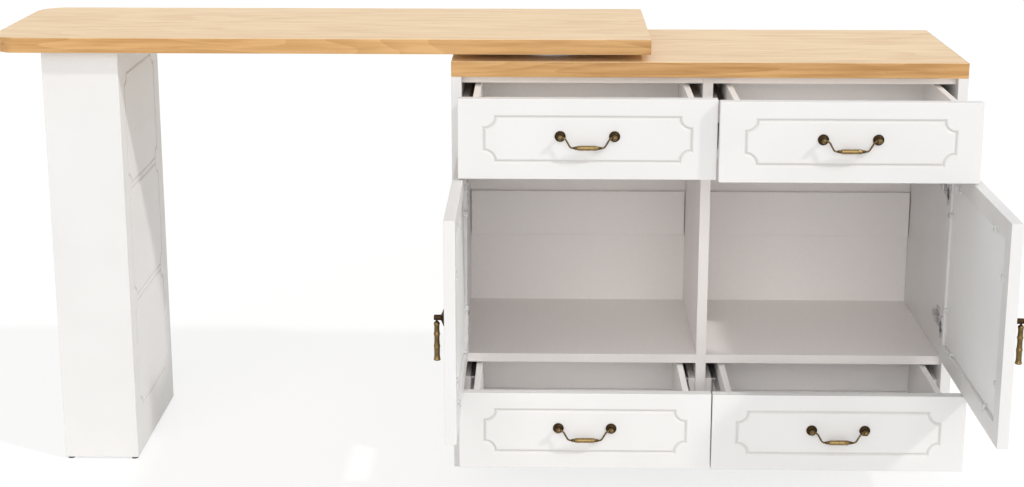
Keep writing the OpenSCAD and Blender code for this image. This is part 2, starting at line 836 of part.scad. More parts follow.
// A side board of the leg, with its routed panels on the outer face
module leg_side(side) {
    middle = leg_left + leg_w / 2;
    panel_d = leg_d - 2 * leg_panel_inset;
    color(white) translate([middle, 0, glide_h]) mirror([side == LEFT ? 1 : 0, 0, 0]) difference() {
        board([leg_w / 2 - leg_board_t, -leg_side_d / 2, 0], [leg_w / 2, leg_side_d / 2, leg_h]);
        for (i = [0 : leg_panels - 1])
            translate([leg_w / 2, 0, leg_panel_foot + leg_panel_h / 2 + i * (leg_panel_h + leg_panel_gap)])
                rotate([90, 0, 90]) routed_groove([panel_d, leg_panel_h]);
    }
}

// Cleats under the table, inside the leg's front and back boards
module leg_cleats() {
    low = leg_left + leg_board_t;
    color("tan") for (turn = [0, 1]) mirror([0, turn, 0])
        board([low, -leg_side_d / 2, table_z - cleat_w],
              [low + leg_w - 2 * leg_board_t, cleat_w - leg_side_d / 2, table_z]);
}

module leg_glides() {
    inset = leg_board_t / 2;
    color("gainsboro") for (x = [leg_left + inset, leg_left + leg_w - inset], y = [-1, 1])
        translate([x, y * (leg_d / 2 - inset), 0]) cylinder(r = glide_r, h = glide_h);
}

side_panel(LEFT);  // side_panel_left
side_panel(RIGHT);  // side_panel_right
partition();
worktop();
top_rails();
compartment_tops();
compartment_floors();
base_boards();
toe_boards();
back_panel();
back_rails();
runner_battens();
cabinet_runners();
hinge_arms();
swivel_base();
swivel_bolt();
drawer_front(LEFT, UPPER);  // drawer_front_upper_left
drawer_front(RIGHT, UPPER);  // drawer_front_upper_right
drawer_front(LEFT, LOWER);  // drawer_front_lower_left
drawer_front(RIGHT, LOWER);  // drawer_front_lower_right
drawer_box(LEFT, UPPER);  // drawer_box_upper_left
drawer_box(RIGHT, UPPER);  // drawer_box_upper_right
drawer_box(LEFT, LOWER);  // drawer_box_lower_left
drawer_box(RIGHT, LOWER);  // drawer_box_lower_right
drawer_runners(LEFT, UPPER);  // drawer_runners_upper_left
drawer_runners(RIGHT, UPPER);  // drawer_runners_upper_right
drawer_runners(LEFT, LOWER);  // drawer_runners_lower_left
drawer_runners(RIGHT, LOWER);  // drawer_runners_lower_right
middle_runners(LEFT, UPPER);  // middle_runners_upper_left
middle_runners(RIGHT, UPPER);  // middle_runners_upper_right
middle_runners(LEFT, LOWER);  // middle_runners_lower_left
middle_runners(RIGHT, LOWER);  // middle_runners_lower_right
handle_posts(LEFT, UPPER);  // handle_posts_upper_left
handle_posts(RIGHT, UPPER);  // handle_posts_upper_right
handle_posts(LEFT, LOWER);  // handle_posts_lower_left
handle_posts(RIGHT, LOWER);  // handle_posts_lower_right
handle_bail(LEFT, UPPER);  // handle_bail_upper_left
handle_bail(RIGHT, UPPER);  // handle_bail_upper_right
handle_bail(LEFT, LOWER);  // handle_bail_lower_left
handle_bail(RIGHT, LOWER);  // handle_bail_lower_right
door_frame(LEFT);  // door_frame_left
door_frame(RIGHT);  // door_frame_right
door_glass(LEFT);  // door_glass_left
door_glass(RIGHT);  // door_glass_right
glass_clips(LEFT);  // glass_clips_left
glass_clips(RIGHT);  // glass_clips_right
hinge_cups(LEFT);  // hinge_cups_left
hinge_cups(RIGHT);  // hinge_cups_right
pull_post(LEFT);  // pull_post_left
pull_post(RIGHT);  // pull_post_right
pull_drop(LEFT);  // pull_drop_left
pull_drop(RIGHT);  // pull_drop_right
table_top();
swivel_top_plate();
leg_end_board(LEFT);  // leg_front
leg_end_board(RIGHT);  // leg_back
leg_side(LEFT);  // leg_side_outer
leg_side(RIGHT);  // leg_side_inner
leg_cleats();
leg_glides();
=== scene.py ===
"""Kitchen island with a turning table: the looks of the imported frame.

Every piece is made in metres in the frame's own axes, so it lies where its CAD node lies: +X runs
to the right along the cabinet's front, +Y to the back and +Z up. Shapes are written in millimetres
and scaled as their vertices are made.
"""

import json
import math

import bmesh
import bpy
from mathutils import Matrix, Vector


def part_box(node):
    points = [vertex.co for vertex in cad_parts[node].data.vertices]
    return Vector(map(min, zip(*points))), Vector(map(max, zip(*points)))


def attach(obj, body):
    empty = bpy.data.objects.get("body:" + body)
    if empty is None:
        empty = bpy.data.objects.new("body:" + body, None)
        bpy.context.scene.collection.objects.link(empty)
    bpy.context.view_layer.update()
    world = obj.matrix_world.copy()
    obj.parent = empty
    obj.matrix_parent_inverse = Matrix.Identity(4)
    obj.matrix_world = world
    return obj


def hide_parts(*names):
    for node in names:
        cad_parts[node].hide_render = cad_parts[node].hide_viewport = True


MM = 0.001

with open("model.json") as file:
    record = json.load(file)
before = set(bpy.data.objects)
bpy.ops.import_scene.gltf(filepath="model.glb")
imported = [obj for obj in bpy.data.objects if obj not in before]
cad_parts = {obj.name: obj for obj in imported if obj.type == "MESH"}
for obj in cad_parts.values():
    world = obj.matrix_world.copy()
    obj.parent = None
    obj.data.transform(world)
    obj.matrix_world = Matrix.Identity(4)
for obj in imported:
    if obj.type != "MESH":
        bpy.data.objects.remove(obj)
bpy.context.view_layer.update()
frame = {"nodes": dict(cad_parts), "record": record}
record = frame["record"]
body_of = {node: body for body, nodes in record["behaviour"]["bodies"].items() for node in nodes}
slot_of = {part["node"]: part["material_slot"] for part in record["subparts"]}


# ---- Materials ----

# Where the Mix node keeps its share, its two colours and the mixed colour
MIX_SHARE, MIX_FIRST, MIX_SECOND, MIX_RESULT = 0, 6, 7, 2


def opaque(value):
    """A colour's red, green and blue with an alpha. A number or a socket stays as it is."""
    return (*value, 1.0) if isinstance(value, tuple) else value


class Nodes:
    """A node tree to which nodes are added one by one."""

    def __init__(self, tree):
        self.tree = tree

    def node(self, kind, inputs=None, **settings):
        made = self.tree.nodes.new(kind)
        for name, value in settings.items():
            setattr(made, name, value)
        for name, value in (inputs or {}).items():
            self.feed(made.inputs[name], value)
        return made

    def feed(self, socket, value):
        """Links another node's socket, or sets a plain value."""
        if isinstance(value, bpy.types.NodeSocket):
            self.tree.links.new(value, socket)
        else:
            socket.default_value = value

    def calc(self, first, second, how="ADD"):
        return self.node("ShaderNodeMath", {0: first, 1: second}, operation=how).outputs[0]

    def mixed(self, share, first, second, how="MIX"):
        made = self.node("ShaderNodeMix", data_type="RGBA", blend_type=how)
        self.feed(made.inputs[MIX_SHARE], share)
        self.feed(made.inputs[MIX_FIRST], opaque(first))
        self.feed(made.inputs[MIX_SECOND], opaque(second))
        return made.outputs[MIX_RESULT]

    def shown(self):
        """1 where the camera, metal or glass sees the studio itself, and 0 for its light."""
        ray = self.node("ShaderNodeLightPath").outputs
        direct = self.calc(ray["Is Camera Ray"], ray["Is Glossy Ray"], "MAXIMUM")
        return self.calc(direct, ray["Is Transmission Ray"], "MAXIMUM")


class Recipe(Nodes):
    """A material, made around Blender's principled shader."""

    def __init__(self, name):
        self.material = bpy.data.materials.new(name)
        self.material.use_nodes = True
        super().__init__(self.material.node_tree)
        self.shader = self.tree.nodes["Principled BSDF"]
        self.place = self.node("ShaderNodeTexCoord").outputs["Object"]

    def scaled(self, scale):
        """The place on the object, with its axes scaled."""
        return self.node("ShaderNodeMapping", {"Vector": self.place, "Scale": scale}).outputs[0]

    def noise(self, scale, detail=3.0, roughness=0.5, distortion=0.0, where=None):
        return self.node("ShaderNodeTexNoise", {
            "Vector": where or self.place, "Scale": scale, "Detail": detail,
            "Roughness": roughness, "Distortion": distortion}).outputs["Fac"]

    def between(self, value, low, high, to_low=0.0, to_high=1.0):
        """A value's part from low to high, spread over another range and held at its ends."""
        return self.node("ShaderNodeMapRange", {
            "Value": value, "From Min": low, "From Max": high,
            "To Min": to_low, "To Max": to_high}).outputs["Result"]

    def marked(self, name):
        """What the mesh's vertices carry under a name, such as how far a place is worn."""
        return self.node("ShaderNodeAttribute", attribute_name=name).outputs["Fac"]

    def bumped(self, height, strength, distance):
        bump = self.node("ShaderNodeBump", {
            "Height": height, "Strength": strength, "Distance": distance})
        self.feed(self.shader.inputs["Normal"], bump.outputs[0])

    def shade(self, **inputs):
        """Feeds the shader's sockets, named with underscores, and gives the material."""
        for name, value in inputs.items():
            self.feed(self.shader.inputs[name.replace("_", " ")], opaque(value))
        return self.material


def white_paint():
    """Sprayed satin paint on fibreboard, with a faint orange peel, and painted shade that darkens
    it in routed grooves.
    """
    r = Recipe("white_paint")
    cloud = r.noise(5.0, 3.0)
    peel = r.noise(420.0, 2.0)
    brush = r.noise(1.0, 4.0, where=r.scaled((60.0, 9.0, 60.0)))
    colour = r.mixed(r.between(cloud, 0.3, 0.7), (0.77, 0.76, 0.75), (0.805, 0.796, 0.787))
    # Painted shade: the paint darkens towards the floor of each routed groove, by the depth share
    # the board keeps on its vertices
    groove = r.calc(r.marked("recess"), 0.8, "MULTIPLY")
    colour = r.mixed(groove, colour, (0.77, 0.75, 0.735), "MULTIPLY")
    r.bumped(peel, 0.10, 0.0004)
    rough = r.calc(r.between(peel, 0.3, 0.7, 0.30, 0.36), r.between(brush, 0.3, 0.7, 0.0, 0.08))
    return r.shade(Base_Color=colour, Roughness=rough, Specular_IOR_Level=0.45)


def melamine(name, low, high, cast):
    """White coated board, with the fine print of its paper."""
    r = Recipe(name)
    print_lines = r.noise(1.0, 4.0, 0.6, where=r.scaled((240.0, 14.0, 240.0)))
    cloud = r.noise(9.0, 2.0)
    colour = r.mixed(r.between(print_lines, 0.3, 0.7), low, high)
    colour = r.mixed(r.between(cloud, 0.3, 0.8, 0.0, 0.35), colour, cast)
    r.bumped(print_lines, 0.08, 0.0003)
    return r.shade(Base_Color=colour, Roughness=r.between(print_lines, 0.3, 0.7, 0.42, 0.55))


def oak(name, pale, deep, pore, contrast, fleck_width):
    """Oak-look laminate: long streaks, cathedral figure, flecks and short dark pores along X."""
    r = Recipe(name)
    drift = r.noise(1.0, 2.0, where=r.scaled((0.9, 3.5, 9.0)))
    wander = r.node("ShaderNodeCombineXYZ", {
        "Y": r.between(drift, 0.0, 1.0, -2.6, 2.6),
        "Z": r.between(drift, 0.0, 1.0, -1.2, 1.2)}).outputs[0]
    warped = r.node("ShaderNodeVectorMath", {0: r.scaled((0.55, 9.0, 9.0)), 1: wander},
                    operation="ADD").outputs[0]
    figure = r.node("ShaderNodeTexWave", {
        "Vector": warped, "Scale": 1.15, "Distortion": 2.4, "Detail": 3.0, "Detail Scale": 1.3,
        "Detail Roughness": 0.6}, bands_direction="Y", wave_profile="SAW").outputs["Fac"]
    streak = r.noise(1.0, 6.0, 0.62, where=r.scaled((3.0, 130.0, 130.0)))
    broad = r.noise(1.0, 3.0, 0.5, where=r.scaled((0.8, 8.0, 8.0)))
    dashes = r.noise(1.0, 3.0, 0.6, where=r.scaled((55.0, 900.0, 900.0)))
    fleck = r.noise(1.0, 3.0, 0.55, 0.25, r.scaled((6.5, fleck_width, fleck_width)))

    tone = r.calc(r.between(figure, 0.0, 1.0, 0.0, 0.34), r.between(streak, 0.25, 0.75, 0.0, 0.46))
    tone = r.calc(tone, r.between(broad, 0.3, 0.7, -0.05, 0.3))
    colour = r.mixed(r.calc(tone, contrast, "MULTIPLY"), pale, deep)
    dark_fleck = r.between(fleck, 0.50, 0.66, 0.0, 0.75 * contrast)
    colour = r.mixed(dark_fleck, colour, (0.86, 0.80, 0.70), "MULTIPLY")
    colour = r.mixed(r.between(fleck, 0.34, 0.47, 0.45, 0.0), colour, pale)
    pores = r.calc(r.between(dashes, 0.60, 0.72), r.between(streak, 0.4, 0.7), "MULTIPLY")
    colour = r.mixed(r.calc(pores, 0.45 * contrast, "MULTIPLY"), colour, pore)
    r.bumped(r.calc(r.between(pores, 0.0, 1.0, 1.0, 0.0), streak), 0.12, 0.0003)
    rough = r.between(streak, 0.3, 0.7, 0.34, 0.46)
    return r.shade(Base_Color=colour, Roughness=rough, Specular_IOR_Level=0.5)


def plain_wood():
    """Bare softwood of the cleats under the table."""
    r = Recipe("plain_wood")
    rings = r.node("ShaderNodeTexWave", {
        "Vector": r.scaled((5.0, 60.0, 60.0)), "Scale": 1.0, "Distortion": 3.0, "Detail": 3.0},
        bands_direction="DIAGONAL").outputs["Fac"]
    fibre = r.noise(1.0, 4.0, where=r.scaled((20.0, 500.0, 500.0)))
    late_wood = r.calc(rings, fibre, "MULTIPLY")
    colour = r.mixed(late_wood, (0.62, 0.44, 0.25), (0.40, 0.25, 0.12))
    r.bumped(fibre, 0.3, 0.0004)
    return r.shade(Base_Color=colour, Roughness=r.between(fibre, 0.3, 0.7, 0.6, 0.8))


def antique_brass():
    """Aged brass: brown in its hollows, rubbed bright where hands and edges wear it."""
    r = Recipe("antique_brass")
    patch = r.noise(260.0, 5.0, 0.65)
    speck = r.noise(1500.0, 3.0)
    worn = r.calc(r.marked("rub"), r.between(patch, 0.25, 0.75, -0.35, 0.35))
    worn = r.between(worn, 0.25, 1.0)
    colour = r.mixed(worn, (0.055, 0.034, 0.016), (0.29, 0.20, 0.085))
    colour = r.mixed(r.between(speck, 0.5, 0.75, 0.0, 0.5), colour, (0.04, 0.026, 0.013))
    r.bumped(r.calc(patch, r.calc(speck, 0.4, "MULTIPLY")), 0.16, 0.0002)
    return r.shade(Base_Color=colour, Metallic=1.0,
                   Roughness=r.between(worn, 0.0, 1.0, 0.48, 0.27))


def zinc_steel():
    """Zinc-plated steel with rolling marks and a faint spangle."""
    r = Recipe("zinc_steel")
    rolled = r.noise(1.0, 4.0, 0.6, where=r.scaled((700.0, 18.0, 700.0)))
    spangle = r.node("ShaderNodeTexVoronoi", {"Vector": r.place, "Scale": 260.0})
    flake = r.between(spangle.outputs["Distance"], 0.2, 0.7, 0.0, 0.25)
    colour = r.mixed(r.between(rolled, 0.3, 0.7), (0.50, 0.50, 0.51), (0.66, 0.66, 0.67))
    colour = r.mixed(flake, colour, (0.74, 0.74, 0.76))
    r.bumped(rolled, 0.08, 0.0002)
    return r.shade(Base_Color=colour, Metallic=1.0,
                   Roughness=r.between(rolled, 0.3, 0.7, 0.28, 0.42))


def frosted_glass():
    """Etched glass, milky and even, with a fine grain."""
    r = Recipe("frosted_glass")
    grain = r.noise(1400.0, 2.0)
    cloud = r.noise(7.0, 2.0)
    colour = r.mixed(r.between(cloud, 0.3, 0.7), (0.93, 0.93, 0.92), (0.97, 0.97, 0.965))
    r.bumped(grain, 0.25, 0.0002)
    return r.shade(Base_Color=colour, Roughness=r.between(grain, 0.3, 0.7, 0.42, 0.6),
                   Transmission_Weight=0.06, IOR=1.5)


def clear_plastic():
    """Clips of milky plastic."""
    r = Recipe("clear_plastic")
    swirl = r.noise(90.0, 3.0, distortion=0.6)
    colour = r.mixed(r.between(swirl, 0.3, 0.7), (0.86, 0.87, 0.87), (0.94, 0.94, 0.94))
    r.bumped(swirl, 0.1, 0.0002)
    return r.shade(Base_Color=colour, Roughness=r.between(swirl, 0.3, 0.7, 0.2, 0.32),
                   Transmission_Weight=0.25, IOR=1.46)


def nylon():
    """Dark glides with scuffed faces."""
    r = Recipe("nylon")
    scuff = r.noise(1.0, 5.0, 0.7, where=r.scaled((500.0, 120.0, 500.0)))
    colour = r.mixed(r.between(scuff, 0.35, 0.7), (0.045, 0.042, 0.04), (0.10, 0.095, 0.09))
    r.bumped(scuff, 0.2, 0.0002)
    return r.shade(Base_Color=colour, Roughness=r.between(scuff, 0.3, 0.7, 0.5, 0.75))


def floor_paint():
    """Pale floor with the object's shadow, nearer to white where the studio itself is seen."""
    r = Recipe("floor_paint")
    cloud = r.noise(1.2, 3.0)
    colour = r.mixed(r.between(cloud, 0.3, 0.7), (0.90, 0.90, 0.895), (0.93, 0.93, 0.925))
    shown = r.shown()
    return r.shade(Base_Color=r.mixed(shown, colour, (0.3, 0.3, 0.298)), Roughness=0.9,
                   Specular_IOR_Level=0.0, Emission_Color=(1.0, 1.0, 1.0),
                   Emission_Strength=r.calc(shown, 0.74, "MULTIPLY"))


# The worktops' top and bottom faces, their oak painted paler and greyer with the sheen and stronger
# light that fall on a top, and the browner band round their edges
oak_face_painted_sheen = oak("oak_laminate", pale=(0.93, 0.70, 0.42), deep=(0.76, 0.51, 0.255),
               pore=(0.42, 0.24, 0.11), contrast=0.95, fleck_width=52.0)
oak_band = oak("oak_edge_band", pale=(0.76, 0.46, 0.19), deep=(0.53, 0.275, 0.09),
               pore=(0.28, 0.14, 0.05), contrast=1.25, fleck_width=120.0)
# The coated boards inside the cabinet, melamine in a brighter and warmer white than the paint, with
# painted light standing in for the light inside the compartments, and the slightly paler drawer
# boxes
white_board_with_painted_light = melamine("white_board_with_painted_light", low=(0.90, 0.86, 0.838), high=(0.93, 0.893, 0.872),
                       cast=(0.915, 0.87, 0.848))
pale_board = melamine("pale_board", low=(0.90, 0.88, 0.865), high=(0.93, 0.915, 0.90),
                      cast=(0.935, 0.905, 0.885))
LOOKS = {
    "oak_laminate": [oak_face_painted_sheen, oak_band],
    "white_paint": [white_paint()],
    "pale_board": [pale_board],
    "plain_wood": [plain_wood()],
    "antique_brass": [antique_brass()],
    "zinc_steel": [zinc_steel()],
    "frosted_glass": [frosted_glass()],
    "clear_plastic": [clear_plastic()],
    "nylon": [nylon()],
}
OAK_FACE_PAINTED_SHEEN, OAK_BAND = 0, 1


# ---- Pieces ----

def piece(name, shape, body, slot, angle, looks=None):
    """Turns a shape into an object that moves with a body and takes its finish from a slot.

    Edges sharper than the angle, in degrees, stay crisp.
    """
    mesh = bpy.data.meshes.new(name)
    bmesh.ops.recalc_face_normals(shape, faces=shape.faces)
    shape.to_mesh(mesh)
    shape.free()
    for material in looks or LOOKS[slot]:
        mesh.materials.append(material)
    mesh.polygons.foreach_set("use_smooth", [True] * len(mesh.polygons))
    mesh.set_sharp_from_angle(angle=math.radians(angle))
    made = bpy.data.objects.new(name, mesh)
    bpy.context.scene.collection.objects.link(made)
    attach(made, body)
    return made


def stand_in(node, shape, angle, looks=None):
    """A piece that stands for a CAD node, with the node's body and slot."""
    made = piece("looks_" + node, shape, body_of[node], slot_of[node], angle, looks)
    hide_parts(node)
    return made


def flatten_shading(made):
    """Keeps large flat faces flat where they meet a small rounded edge."""
    modifier = made.modifiers.new("flat_faces", "WEIGHTED_NORMAL")
    modifier.keep_sharp = True
    modifier.weight = 80


def copied(node):
    """A CAD node's shape, without the triangles' edges across its flat faces."""
    source = frame["nodes"][node].data
    shape = bmesh.new()
    corners = [shape.verts.new(v.co) for v in source.vertices]
    for polygon in source.polygons:
        try:
            shape.faces.new([corners[i] for i in polygon.vertices])
        except ValueError:  # the face is there already
            pass
    bmesh.ops.remove_doubles(shape, verts=shape.verts, dist=1e-6)
    bmesh.ops.dissolve_limit(shape, angle_limit=math.radians(1.0), verts=shape.verts,
                             edges=shape.edges)
    return shape


def dressed(node, ease, segments=3, looks=None):
    """A CAD node's own shape with its edges eased by so many millimetres."""
    made = stand_in(node, copied(node), 30.0, looks)
    bevel = made.modifiers.new("eased_edges", "BEVEL")
    bevel.width = ease * MM
    bevel.segments = segments
    bevel.limit_method = "ANGLE"
    bevel.angle_limit = math.radians(32.0)
    bevel.miter_outer = "MITER_ARC"
    bevel.use_clamp_overlap = True
    flatten_shading(made)
    return made


# ---- Mesh helpers ----

RIGHT, LEFT = (1, 0, 0), (-1, 0, 0)
BACK, FRONT = (0, 1, 0), (0, -1, 0)
UP, DOWN = (0, 0, 1), (0, 0, -1)


def axes(origin, x, y, z):
    """The matrix that puts local X, Y and Z along these directions, at an origin in metres."""
    matrix = Matrix((Vector(x), Vector(y), Vector(z))).transposed().to_4x4()
    matrix.translation = Vector(origin)
    return matrix


def box_of(node):
    low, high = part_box(node)
    return Vector(low), Vector(high)


def loop_of(shape, points, matrix):
    """A vertex at each point."""
    return [shape.verts.new(matrix @ Vector(point)) for point in points]


def loop_edges(shape, loop):
    """The edges round a closed loop of vertices, made where they are missing."""
    pairs = zip(loop, loop[1:] + loop[:1])
    return [shape.edges.get(pair) or shape.edges.new(pair) for pair in pairs]


def bridge(shape, first, second):
    """Quads between two closed loops of as many vertices."""
    count = len(first)
    for i in range(count):
        j = (i + 1) % count
        shape.faces.new([first[i], first[j], second[j], second[i]])


def skin(shape, loops):
    """Quads from loop to loop."""
    for first, second in zip(loops, loops[1:]):
        bridge(shape, first, second)


def rub_layer(shape):
    """The vertices' mark of wear, from 0 in a hollow to 1 where the brass is rubbed bright."""
    layers = shape.verts.layers.float
    return layers.get("rub") or layers.new("rub")


def lathe(shape, profile, segments, matrix, rub=None, closed=False):
    """Turns a line of (radius, height) about Z, or a closed section of a ring.

    Without a mark of wear for the whole, its larger radii are marked as rubbed.
    """
    layer = rub_layer(shape)
    radii = [radius for radius, height in profile]
    low, high = min(radius for radius in radii if radius > 0), max(radii)
    rings = []
    for radius, height in profile:
        ring = []
        for k in range(segments if radius else 1):
            turn = 2 * math.pi * k / segments
            at = Vector((radius * math.cos(turn), radius * math.sin(turn), height)) * MM
            vertex = shape.verts.new(matrix @ at)
            vertex[layer] = (radius - low) / max(high - low, 0.1) if rub is None else rub
            ring.append(vertex)
        rings.append(ring)
    for first, second in zip(rings, rings[1:] + (rings[:1] if closed else [])):
        if len(first) > 1 and len(second) > 1:
            bridge(shape, first, second)
        else:
            tip, ring = (first[0], second) if len(first) == 1 else (second[0], first)
            for k in range(segments):
                shape.faces.new([tip, ring[k], ring[(k + 1) % segments]])


def rounded_path(corners, reach, steps=7):
    """A path through corners, each replaced by a bend that starts and ends at its reach."""
    path = [Vector(corners[0])]
    for before, corner, after in zip(corners, corners[1:], corners[2:]):
        corner = Vector(corner)
        back = (Vector(before) - corner).normalized() * reach
        ahead = (Vector(after) - corner).normalized() * reach
        for k in range(steps + 1):
            t = k / steps
            path.append(corner + back * (1 - t) ** 2 + ahead * t ** 2)
    path.append(Vector(corners[-1]))
    return path


def sweep(shape, path, radius, sides, matrix, rub):
    """A round wire along a path in the plane y = 0, closed at its ends."""
    layer = rub_layer(shape)
    rings = []
    for i, point in enumerate(path):
        ahead = (path[min(i + 1, len(path) - 1)] - path[max(i - 1, 0)]).normalized()
        side = Vector((0, 1, 0))
        up = ahead.cross(side)
        ring = []
        for k in range(sides):
            turn = 2 * math.pi * k / sides
            at = (point + (side * math.cos(turn) + up * math.sin(turn)) * radius) * MM
            vertex = shape.verts.new(matrix @ at)
            vertex[layer] = rub
            ring.append(vertex)
        rings.append(ring)
    skin(shape, rings)
    shape.faces.new(rings[0])
    shape.faces.new(rings[-1])


# ---- Boards with routed grooves ----

GROOVE_RADIUS = 21.0    # of a panel's hollow corners, to the groove's centre line
# The cutter's section: how far from the centre line, and how deep
GROOVE_PROFILE = [(4.0, 0.0), (3.85, 0.05), (3.6, 0.2), (0.85, 2.1), (0.5, 2.3), (0.0, 2.36)]
GROOVE_DEPTH = GROOVE_PROFILE[-1][1]
ARC_STEPS = 16
BOARD_CORNER = 1.6      # the rounding of a routed board's outline
CORNER_STEPS = 3
QUADRANTS = ((1, 1), (-1, 1), (-1, -1), (1, -1))

FRONT_MARGIN = (48.0, 34.0)     # from a drawer front's sides and from its top and foot
LEG_PANEL_WIDTH = 258.0
LEG_FOOT, LEG_HEAD = 92.0, 56.0     # plain board under and over the leg's three panels
LEG_PANEL_GAP = 12.0


def hollow_outline(centre, size, offset, depth):
    """The hollow-cornered outline at an offset from the groove's centre line, at a depth."""
    reach = GROOVE_RADIUS - offset
    run = math.sqrt(reach ** 2 - offset ** 2)
    start = math.atan2(-run, offset)
    end = math.atan2(offset, -run)
    if end > 0:
        end -= 2 * math.pi
    turns = [start + (end - start) * k / ARC_STEPS for k in range(ARC_STEPS + 1)]
    arc = [(reach * math.cos(turn), reach * math.sin(turn)) for turn in turns]
    points = []
    for sx, sy in QUADRANTS:
        points += [Vector((centre[0] + sx * (size[0] / 2 + x),
                           centre[1] + sy * (size[1] / 2 + y), -depth)) * MM
                   for x, y in (arc if sx * sy > 0 else arc[::-1])]
    return points


def rounded_rectangle(width, height, inset, depth):
    """A board's outline at an inset from its edge, at a depth."""
    radius = max(BOARD_CORNER - inset, 0.05)
    points = []
    for quarter, (sx, sy) in enumerate(QUADRANTS):
        for k in range(CORNER_STEPS + 1):
            turn = math.pi / 2 * (quarter + k / CORNER_STEPS)
            points.append(Vector((
                sx * (width / 2 - inset - radius) + radius * math.cos(turn),
                sy * (height / 2 - inset - radius) + radius * math.sin(turn), -depth)) * MM)
    return points


def routed_board(node, width, height, thick, matrix, panels, ease):
    """A board whose face, local z = 0, has a groove round each panel (its centre and size)."""
    shape = bmesh.new()
    # How deep each vertex lies in a groove, which the white paint turns into painted shade
    recess = shape.verts.layers.float.new("recess")
    eased = [(ease * (1 - math.sin(turn)), ease * (1 - math.cos(turn)))
             for turn in (0, math.pi / 6, math.pi / 3, math.pi / 2)]
    rims = eased + [(inset, thick - depth) for inset, depth in reversed(eased)]
    loops = [loop_of(shape, rounded_rectangle(width, height, inset, depth), matrix)
             for inset, depth in rims]
    skin(shape, loops)
    shape.faces.new(loops[-1])

    profile = GROOVE_PROFILE + [(-offset, depth) for offset, depth in reversed(GROOVE_PROFILE[:-1])]
    face_up = matrix.to_3x3() @ Vector(UP)
    face_edges = loop_edges(shape, loops[0])
    for centre, size in panels:
        groove = [loop_of(shape, hollow_outline(centre, size, offset, depth), matrix)
                  for offset, depth in profile]
        for loop, (offset, depth) in zip(groove, profile):
            for vertex in loop:
                vertex[recess] = min(depth / GROOVE_DEPTH, 1.0)
        skin(shape, groove)
        face_edges += loop_edges(shape, groove[0])
        bmesh.ops.triangle_fill(shape, edges=loop_edges(shape, groove[-1]), use_beauty=True,
                                normal=face_up)
    bmesh.ops.triangle_fill(shape, edges=face_edges, use_beauty=True, normal=face_up)
    flatten_shading(stand_in(node, shape, 32.0))


def drawer_front(node):
    low, high = box_of(node)
    width, height = (high.x - low.x) / MM, (high.z - low.z) / MM
    matrix = axes(((low.x + high.x) / 2, low.y, (low.z + high.z) / 2), RIGHT, UP, FRONT)
    panel = ((0, 0), (width - 2 * FRONT_MARGIN[0], height - 2 * FRONT_MARGIN[1]))
    routed_board(node, width, height, (high.y - low.y) / MM, matrix, [panel], ease=1.3)


def leg_side(node, outward):
    """A side of the leg with three panels, one over another. Outward is -1 or 1 along X."""
    low, high = box_of(node)
    width, height = (high.y - low.y) / MM, (high.z - low.z) / MM
    face_x = high.x if outward > 0 else low.x
    matrix = axes((face_x, (low.y + high.y) / 2, (low.z + high.z) / 2),
                  (0, outward, 0), UP, (outward, 0, 0))
    tall = (height - LEG_FOOT - LEG_HEAD - 2 * LEG_PANEL_GAP) / 3
    panels = [((0, LEG_FOOT + tall / 2 + i * (tall + LEG_PANEL_GAP) - height / 2),
               (LEG_PANEL_WIDTH, tall)) for i in range(3)]
    routed_board(node, width, height, (high.x - low.x) / MM, matrix, panels, ease=0.5)


# ---- Screws ----

# Rings of a pan head as shares of its radius: how wide, how high, and whether cut by the cross
SCREW_RINGS = ((1.0, 0.0, False), (0.97, 0.28, False), (0.8, 0.46, False),
               (0.62, 0.5, True), (0.5, 0.1, True))
SCREW_SIDES = 24


def screw(shape, matrix, radius):
    """A pan head with a cross recess."""
    rings = []
    for wide, high, cut in SCREW_RINGS:
        ring = []
        for k in range(SCREW_SIDES):
            turn = 2 * math.pi * k / SCREW_SIDES
            cross = 0.34 + 0.66 * abs(math.cos(2 * turn)) ** 3
            reach = wide * (cross if cut else 1.0)
            at = Vector((reach * math.cos(turn), reach * math.sin(turn), high)) * radius * MM
            ring.append(shape.verts.new(matrix @ at))
        rings.append(ring)
    skin(shape, rings)
    shape.faces.new(rings[0])
    shape.faces.new(rings[-1])


def screws(name, body, places, direction, radius):
    """Screws at places in metres, their heads towards a direction, each turned as it stopped."""
    shape = bmesh.new()
    z = Vector(direction)
    x = Vector(UP)
    for n, at in enumerate(places):
        turn = Matrix.Rotation(0.7 * n + 0.3, 4, "Z")
        screw(shape, axes(at, x, z.cross(x), z) @ turn, radius)
    piece(name, shape, body, "zinc_steel", 38.0)


# ---- Handles and pulls ----

